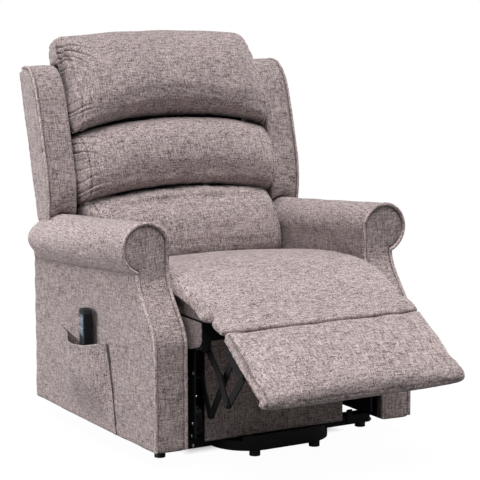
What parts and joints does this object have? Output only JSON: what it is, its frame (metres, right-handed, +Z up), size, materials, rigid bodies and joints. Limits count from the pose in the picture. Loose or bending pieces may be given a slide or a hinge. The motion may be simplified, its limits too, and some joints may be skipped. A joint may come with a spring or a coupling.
{
  "type": "lift recliner chair",
  "caption": "Upholstered wing-back lift recliner with rolled arms, a three-part back, a raised footrest, a side pocket and a handset.",
  "frame": {"origin": "on the floor, at the middle of the chair's length and width in the pose of the picture", "axes": "+Z up, -Y towards the front of the chair, +X to the right of someone who looks at it from the front"},
  "size_m": [0.83, 1.16, 1.0343],
  "materials": {
    "fabric": "woven polyester, heathered grey and mauve",
    "seat_fabric": "woven polyester, heathered grey and mauve",
    "lining": "black non-woven lining",
    "webbing": "black elastic webbing",
    "black_steel": "black powder coat",
    "bright_steel": "zinc plated",
    "timber": "raw plywood",
    "black_plastic": "moulded",
    "handset_plastic": "moulded",
    "panel_plastic": "moulded",
    "button_plastic": "moulded"
  },
  "bodies": {
    "base": {"base_rails": "black_steel", "base_cross_tubes": "black_steel", "base_bow_beam": "black_steel", "base_feet": "black_plastic", "base_pivot_plates": "black_steel", "base_tabs": "black_steel", "base_motor_clevis": "black_steel"},
    "lift_arms": {"lift_arms": "black_steel", "lift_torque_tube": "black_steel"},
    "lift_links": {"lift_links": "black_steel"},
    "lift_motor": {"lift_motor_case": "black_plastic", "lift_motor_tube": "black_steel"},
    "lift_rod": {"lift_motor_rod": "bright_steel"},
    "carriage": {"carriage_side_plates": "black_steel", "carriage_cross_tubes": "black_steel", "carriage_pins": "bright_steel", "front_board": "fabric", "front_board_brackets": "black_steel", "seat_side_rails": "timber", "seat_cross_rails": "timber", "seat_springs": "bright_steel", "seat_side_covers": "fabric", "seat_pad": "seat_fabric", "arm_left": "fabric", "arm_right": "fabric", "arm_boards": "timber", "arm_linings": "lining", "arm_brackets": "black_steel", "rear_panel": "fabric", "side_pocket": "fabric", "control_box": "black_plastic"},
    "back": {"back_posts": "timber", "back_rails": "timber", "back_webbing": "webbing", "outside_back": "fabric", "wing_left": "fabric", "wing_right": "fabric", "top_cushion": "fabric", "middle_cushion": "fabric", "bottom_cushion": "fabric", "back_brackets": "black_steel", "recline_tube": "black_steel"},
    "back_motor": {"back_motor_case": "black_plastic", "back_motor_tube": "black_steel"},
    "back_rod": {"back_motor_rod": "bright_steel"},
    "footrest": {"footrest_board": "timber", "footrest_pad": "seat_fabric", "leg_flap": "seat_fabric", "footrest_brackets": "black_steel"},
    "upper_leg": {"upper_leg_links": "black_steel"},
    "lower_leg": {"lower_leg_links": "black_steel"},
    "front_leg": {"front_leg_links": "black_steel"},
    "long_leg": {"long_leg_links": "black_steel"},
    "handset": {"handset_case": "handset_plastic", "handset_panel": "panel_plastic"},
    "button_back_up": {"button_back_up": "button_plastic"},
    "button_back_down": {"button_back_down": "button_plastic"},
    "button_lift_up": {"button_lift_up": "button_plastic"},
    "button_lift_down": {"button_lift_down": "button_plastic"}
  },
  "joints": [
    {"name": "lift", "type": "hinge", "parent": "base", "child": "lift_arms", "pos_m": [0, 0.3492, 0.075], "axis": [-1, 0, 0], "range_deg": [0, 36]},
    {"name": "carriage_tilt", "type": "hinge", "parent": "lift_arms", "child": "carriage", "pos_m": [0, -0.0708, 0.075], "axis": [1, 0, 0], "range_deg": [0, 60]},
    {"name": "lift_link_turn", "type": "hinge", "parent": "base", "child": "lift_links", "pos_m": [0, 0.4342, 0.126], "axis": [-1, 0, 0], "range_deg": [0, 36]},
    {"name": "lift_motor_turn", "type": "hinge", "parent": "base", "child": "lift_motor", "pos_m": [0, -0.0758, 0.062], "axis": [1, 0, 0], "range_deg": [-1.5, 0.5]},
    {"name": "lift_rod_slide", "type": "slide", "parent": "lift_motor", "child": "lift_rod", "axis": [0, 0.9734, 0.2291], "range_m": [0, 0.06]},
    {"name": "recline", "type": "hinge", "parent": "carriage", "child": "back", "pos_m": [0, 0.4412, 0.31], "axis": [-1, 0, 0], "range_deg": [0, 30]},
    {"name": "back_motor_turn", "type": "hinge", "parent": "carriage", "child": "back_motor", "pos_m": [0, -0.0008, 0.14], "axis": [1, 0, 0], "range_deg": [-0.2, 2.2]},
    {"name": "back_rod_slide", "type": "slide", "parent": "back_motor", "child": "back_rod", "axis": [0, 0.9782, 0.2079], "range_m": [-0.04, 0]},
    {"name": "footrest", "type": "hinge", "parent": "carriage", "child": "footrest", "pos_m": [0, -0.3008, 0.388], "axis": [-1, 0, 0], "range_deg": [-58, 34]},
    {"name": "upper_leg_turn", "type": "hinge", "parent": "carriage", "child": "upper_leg", "pos_m": [0, -0.2278, 0.303], "axis": [-1, 0, 0], "range_deg": [-58, 34]},
    {"name": "lower_leg_turn", "type": "hinge", "parent": "carriage", "child": "lower_leg", "pos_m": [0, -0.1868, 0.211], "axis": [-1, 0, 0], "range_deg": [-58, 34]},
    {"name": "front_leg_turn", "type": "hinge", "parent": "footrest", "child": "front_leg", "pos_m": [0, -0.4058, 0.258], "axis": [-1, 0, 0], "range_deg": [-34, 58]},
    {"name": "long_leg_turn", "type": "hinge", "parent": "footrest", "child": "long_leg", "pos_m": [0, -0.3458, 0.302], "axis": [-1, 0, 0], "range_deg": [-34, 58]},
    {"name": "handset_lift", "type": "slide", "parent": "carriage", "child": "handset", "axis": [0, 0, 1], "range_m": [0, 0.08]},
    {"name": "button_back_up_press", "type": "slide", "parent": "handset", "child": "button_back_up", "axis": [0.9744, -0.225, 0], "range_m": [0, 0.0012], "stiffness_N_per_m": 1500},
    {"name": "button_back_down_press", "type": "slide", "parent": "handset", "child": "button_back_down", "axis": [0.9744, -0.225, 0], "range_m": [0, 0.0012], "stiffness_N_per_m": 1500},
    {"name": "button_lift_up_press", "type": "slide", "parent": "handset", "child": "button_lift_up", "axis": [0.9744, -0.225, 0], "range_m": [0, 0.0012], "stiffness_N_per_m": 1500},
    {"name": "button_lift_down_press", "type": "slide", "parent": "handset", "child": "button_lift_down", "axis": [0.9744, -0.225, 0], "range_m": [0, 0.0012], "stiffness_N_per_m": 1500}
  ],
  "couplings": [
    {"joint": "carriage_tilt", "follows": "lift", "ratio": 1.65},
    {"joint": "lift_link_turn", "follows": "lift", "ratio": 0.973},
    {"joint": "lift_motor_turn", "follows": "lift", "ratio": -0.033},
    {"joint": "lift_rod_slide", "follows": "lift", "m_per_rad": 0.0829},
    {"joint": "back_motor_turn", "follows": "recline", "ratio": 0.061},
    {"joint": "back_rod_slide", "follows": "recline", "m_per_rad": -0.0688},
    {"joint": "upper_leg_turn", "follows": "footrest", "ratio": 1},
    {"joint": "lower_leg_turn", "follows": "footrest", "ratio": 1},
    {"joint": "front_leg_turn", "follows": "footrest", "ratio": -1},
    {"joint": "long_leg_turn", "follows": "footrest", "ratio": -1}
  ]
}
